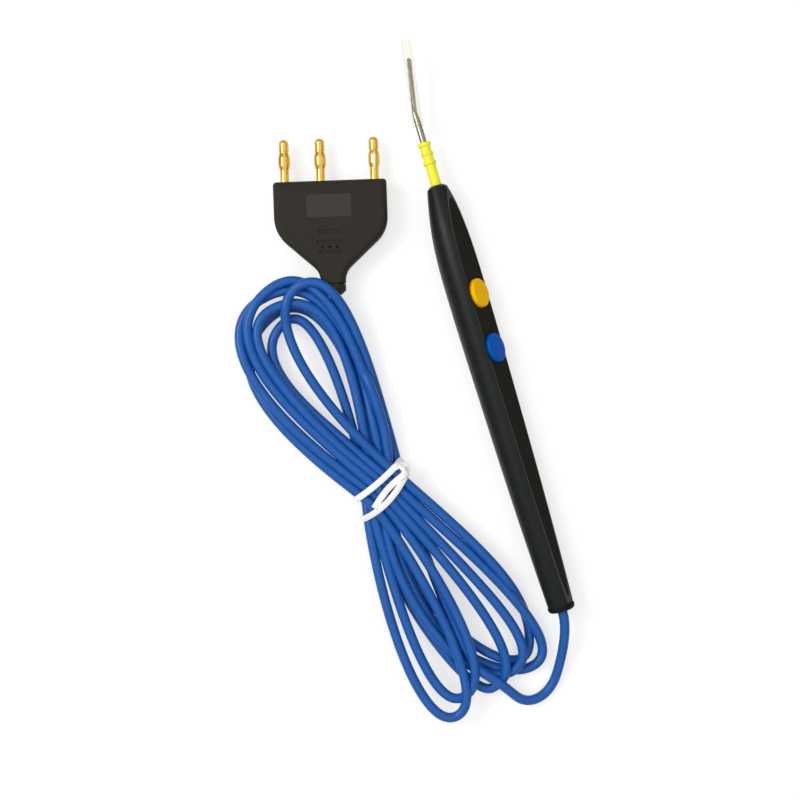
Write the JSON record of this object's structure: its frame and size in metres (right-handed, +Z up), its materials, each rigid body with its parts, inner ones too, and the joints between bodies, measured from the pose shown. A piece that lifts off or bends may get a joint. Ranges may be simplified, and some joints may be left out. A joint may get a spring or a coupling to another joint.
{
  "type": "electrosurgical pencil",
  "caption": "Hand-switched electrosurgical pencil with a flat button panel, bent blade electrode in a clear tip protector, blue cord wound in a tied hank, and a pronged plug.",
  "frame": {"origin": "middle of the underside of the handle, electrode and tip protector as they lie on the table; the cord, hank and plug are left out of this", "axes": "+X along the handle towards the blade, +Y towards the hank and plug, +Z up"},
  "size_m": [0.2382, 0.0908, 0.0152],
  "materials": {
    "housing": "moulded dark grey, satin",
    "panel": "moulded near-black, matt",
    "amber_button": "moulded amber, satin",
    "blue_button": "moulded blue, satin",
    "dome_steel": "sprung steel",
    "board": "green coated laminate",
    "collet_brass": "turned",
    "hub_yellow": "moulded lemon yellow",
    "blade_steel": "drawn and ground",
    "clear_tube": "clear extruded tube",
    "bushing_rubber": "moulded",
    "cord_blue": "smooth blue jacket, satin",
    "core_red": "extruded",
    "core_white": "extruded",
    "core_black": "extruded",
    "plug_black": "moulded warm black, fine grain",
    "pin_gold": "gold plated",
    "tie_white": "coated wire strip"
  },
  "bodies": {
    "handle": {"body_shell": "housing", "top_cover": "panel", "cut_dome": "dome_steel", "coag_dome": "dome_steel", "switch_board": "board", "electrode_socket": "collet_brass", "socket_tab": "collet_brass", "rear_bushing": "bushing_rubber", "cord_ferrule": "collet_brass", "cord_root": "cord_blue", "active_wire": "core_red", "cut_wire": "core_white", "coag_wire": "core_black", "plug_body": "plug_black", "cut_pin": "pin_gold", "coag_pin": "pin_gold", "active_pin": "pin_gold", "cord_lead": "cord_blue", "cord_hank": "cord_blue", "cord_tail": "cord_blue", "twist_tie": "tie_white"},
    "cut_button": {"cut_button": "amber_button"},
    "coag_button": {"coag_button": "blue_button"},
    "electrode": {"electrode_hub": "hub_yellow", "electrode_blade": "blade_steel"},
    "tip_protector": {"tip_protector": "clear_tube"}
  },
  "joints": [
    {"name": "cut_button_press", "type": "slide", "parent": "handle", "child": "cut_button", "axis": [0, 0.8387, -0.5446], "range_m": [0, 0.0006], "stiffness_N_per_m": 1200, "springref_m": -0.0005, "deforming": ["cut_dome"]},
    {"name": "coag_button_press", "type": "slide", "parent": "handle", "child": "coag_button", "axis": [0, 0.8387, -0.5446], "range_m": [0, 0.0006], "stiffness_N_per_m": 1200, "springref_m": -0.0005, "deforming": ["coag_dome"]},
    {"name": "electrode_pull", "type": "slide", "parent": "handle", "child": "electrode", "axis": [1, 0, 0], "range_m": [0, 0.03]},
    {"name": "tip_protector_pull", "type": "slide", "parent": "electrode", "child": "tip_protector", "axis": [0.9863, -0.1384, 0.0899], "range_m": [0, 0.034]}
  ]
}
